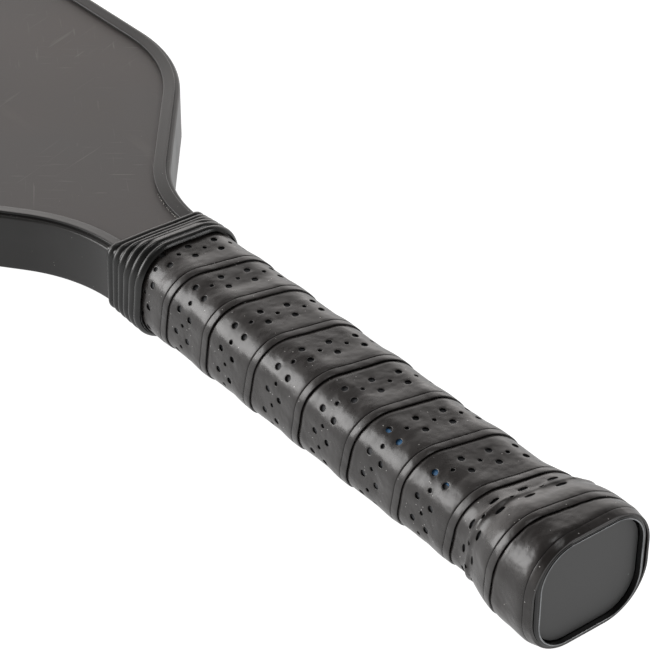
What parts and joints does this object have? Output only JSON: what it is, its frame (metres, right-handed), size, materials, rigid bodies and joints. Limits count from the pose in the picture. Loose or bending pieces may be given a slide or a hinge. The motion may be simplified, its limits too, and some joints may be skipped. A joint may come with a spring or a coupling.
{
  "type": "pickleball paddle",
  "caption": "Rigid paddle: a flat head inside an edge guard narrows to a neck under a ribbed collar, then a helically wrapped handle with a flared, capped butt.",
  "frame": {"origin": "middle of the paddle's box, halfway from butt to head end and on the middle plane of the panel", "axes": "+Y from the butt to the head, +X across the head, +Z out of the upper face"},
  "size_m": [0.15, 0.42, 0.0362],
  "materials": {
    "core": "translucent white moulded honeycomb",
    "bond_film": "cured adhesive film",
    "face": "matte warm grey composite with faint scuffs",
    "guard": "satin black extruded plastic",
    "edge_tape": "adhesive tape",
    "pallet": "moulded rigid foam",
    "tape_film": "blue film of a double-sided tape",
    "backing": "black felt backing",
    "wrap": "perforated soft black synthetic leather with a satin sheen",
    "finishing_tape": "black vinyl tape",
    "collar": "ribbed satin black rubber",
    "cap": "glossy black moulding",
    "plate": "matte dark grey, plain",
    "pad": "adhesive pad",
    "staple": "flattened steel wire"
  },
  "bodies": {
    "root": {"honeycomb_core": "core", "upper_bond_film": "bond_film", "lower_bond_film": "bond_film", "upper_face_sheet": "face", "lower_face_sheet": "face", "edge_guard": "guard", "edge_guard_tape": "edge_tape", "upper_handle_pallet": "pallet", "lower_handle_pallet": "pallet", "handle_tape": "tape_film", "grip_backing": "backing", "grip_wrap": "wrap", "finishing_tape": "finishing_tape", "rubber_collar": "collar", "butt_cap": "cap", "butt_plate": "plate", "butt_plate_pad": "pad", "butt_cap_staple_1": "staple", "butt_cap_staple_2": "staple", "butt_cap_staple_3": "staple", "butt_cap_staple_4": "staple"}
  },
  "joints": []
}
